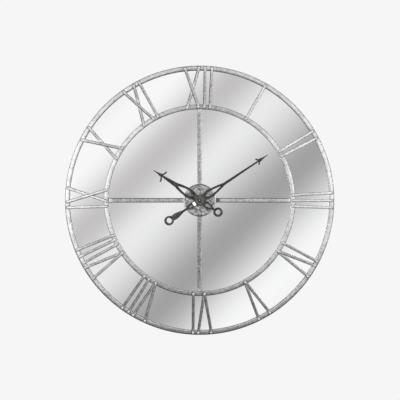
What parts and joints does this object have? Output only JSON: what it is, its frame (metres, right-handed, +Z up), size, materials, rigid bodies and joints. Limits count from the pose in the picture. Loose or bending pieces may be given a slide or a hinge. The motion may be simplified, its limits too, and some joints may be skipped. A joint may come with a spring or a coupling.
{
  "type": "mirror wall clock",
  "caption": "Round mirror wall clock: rings, spokes and Roman numeral bars in worn silver leaf over a mirror disc, with pierced hands driven by a battery quartz movement.",
  "frame": {"origin": "on the hands' axis, half-way between the wall and the front of the hand nut", "axes": "+Y into the wall, so the dial faces -Y; +Z up to twelve o'clock; +X to three o'clock"},
  "size_m": [0.7999, 0.041, 0.8],
  "materials": {
    "silver_leaf": "worn antique silver leaf over steel bar",
    "mirror": "silvered float glass, polished",
    "board": "fibreboard, painted on the back",
    "zinc_steel": "zinc-plated steel",
    "rubber": "soft black rubber",
    "case_plastic": "black moulded plastic",
    "gear_plastic": "natural moulded plastic",
    "circuit": "green laminate",
    "motor_iron": "bare magnetic steel",
    "coil_wire": "enamelled copper wire",
    "cell_wrap": "plain cell wrapper",
    "brass": "turned brass",
    "hand_paint": "dark grey-brown paint on aluminium"
  },
  "bodies": {
    "frame": {"outer_ring": "silver_leaf", "inner_ring": "silver_leaf", "numeral_1": "silver_leaf", "numeral_2": "silver_leaf", "numeral_3": "silver_leaf", "numeral_4": "silver_leaf", "numeral_5": "silver_leaf", "numeral_6": "silver_leaf", "numeral_7": "silver_leaf", "numeral_8": "silver_leaf", "numeral_9": "silver_leaf", "numeral_10": "silver_leaf", "numeral_11": "silver_leaf", "numeral_12": "silver_leaf", "spoke_3": "silver_leaf", "spoke_6": "silver_leaf", "spoke_9": "silver_leaf", "spoke_12": "silver_leaf", "centre_plate": "silver_leaf", "mirror_glass": "mirror", "backing_board": "board", "board_clips": "zinc_steel", "clip_screws": "zinc_steel", "hanger_plate": "zinc_steel", "hanger_screws": "zinc_steel", "wall_bumpers": "rubber", "movement_base": "case_plastic", "movement_cover": "case_plastic", "train_bridge": "gear_plastic", "bridge_screws": "zinc_steel", "circuit_board": "circuit", "stator": "motor_iron", "coil_core": "motor_iron", "motor_coil": "coil_wire", "battery_cell": "cell_wrap", "positive_contact": "zinc_steel", "negative_contact": "zinc_steel", "gasket": "rubber", "washer": "brass", "bushing_nut": "brass"},
    "minute": {"centre_wheel": "brass", "minute_hand": "hand_paint", "hand_nut": "hand_paint"},
    "hour": {"hour_wheel": "brass", "hour_hand": "hand_paint"},
    "motion": {"motion_wheel": "gear_plastic"},
    "setting": {"setting_pinion": "gear_plastic", "setting_knob": "case_plastic"},
    "third": {"third_wheel": "gear_plastic"},
    "second": {"second_wheel": "gear_plastic"},
    "step": {"step_wheel": "gear_plastic"},
    "rotor": {"rotor": "motor_iron"}
  },
  "joints": [
    {"name": "minute_turn", "type": "hinge", "parent": "frame", "child": "minute", "pos_m": [0, 0, 0], "axis": [0, 1, 0], "continuous": true},
    {"name": "hour_turn", "type": "hinge", "parent": "frame", "child": "hour", "pos_m": [0, 0, 0], "axis": [0, 1, 0], "continuous": true},
    {"name": "motion_turn", "type": "hinge", "parent": "frame", "child": "motion", "pos_m": [0.01039, 0, 0.006], "axis": [0, 1, 0], "continuous": true},
    {"name": "setting_turn", "type": "hinge", "parent": "frame", "child": "setting", "pos_m": [0.01639, 0, 0.01639], "axis": [0, 1, 0], "continuous": true},
    {"name": "third_turn", "type": "hinge", "parent": "frame", "child": "third", "pos_m": [-0.01015, 0, 0.00369], "axis": [0, 1, 0], "continuous": true},
    {"name": "second_turn", "type": "hinge", "parent": "frame", "child": "second", "pos_m": [-0.0144, 0, 0.01106], "axis": [0, 1, 0], "continuous": true},
    {"name": "step_turn", "type": "hinge", "parent": "frame", "child": "step", "pos_m": [-0.0114, 0, 0.01625], "axis": [0, 1, 0], "continuous": true},
    {"name": "rotor_turn", "type": "hinge", "parent": "frame", "child": "rotor", "pos_m": [-0.00614, 0, 0.01817], "axis": [0, 1, 0], "continuous": true}
  ],
  "couplings": [
    {"joint": "hour_turn", "follows": "minute_turn", "ratio": 0.083333},
    {"joint": "motion_turn", "follows": "minute_turn", "ratio": -0.33333},
    {"joint": "setting_turn", "follows": "minute_turn", "ratio": 1},
    {"joint": "third_turn", "follows": "minute_turn", "ratio": -8},
    {"joint": "second_turn", "follows": "minute_turn", "ratio": 60},
    {"joint": "step_turn", "follows": "minute_turn", "ratio": -300},
    {"joint": "rotor_turn", "follows": "minute_turn", "ratio": 1800}
  ]
}
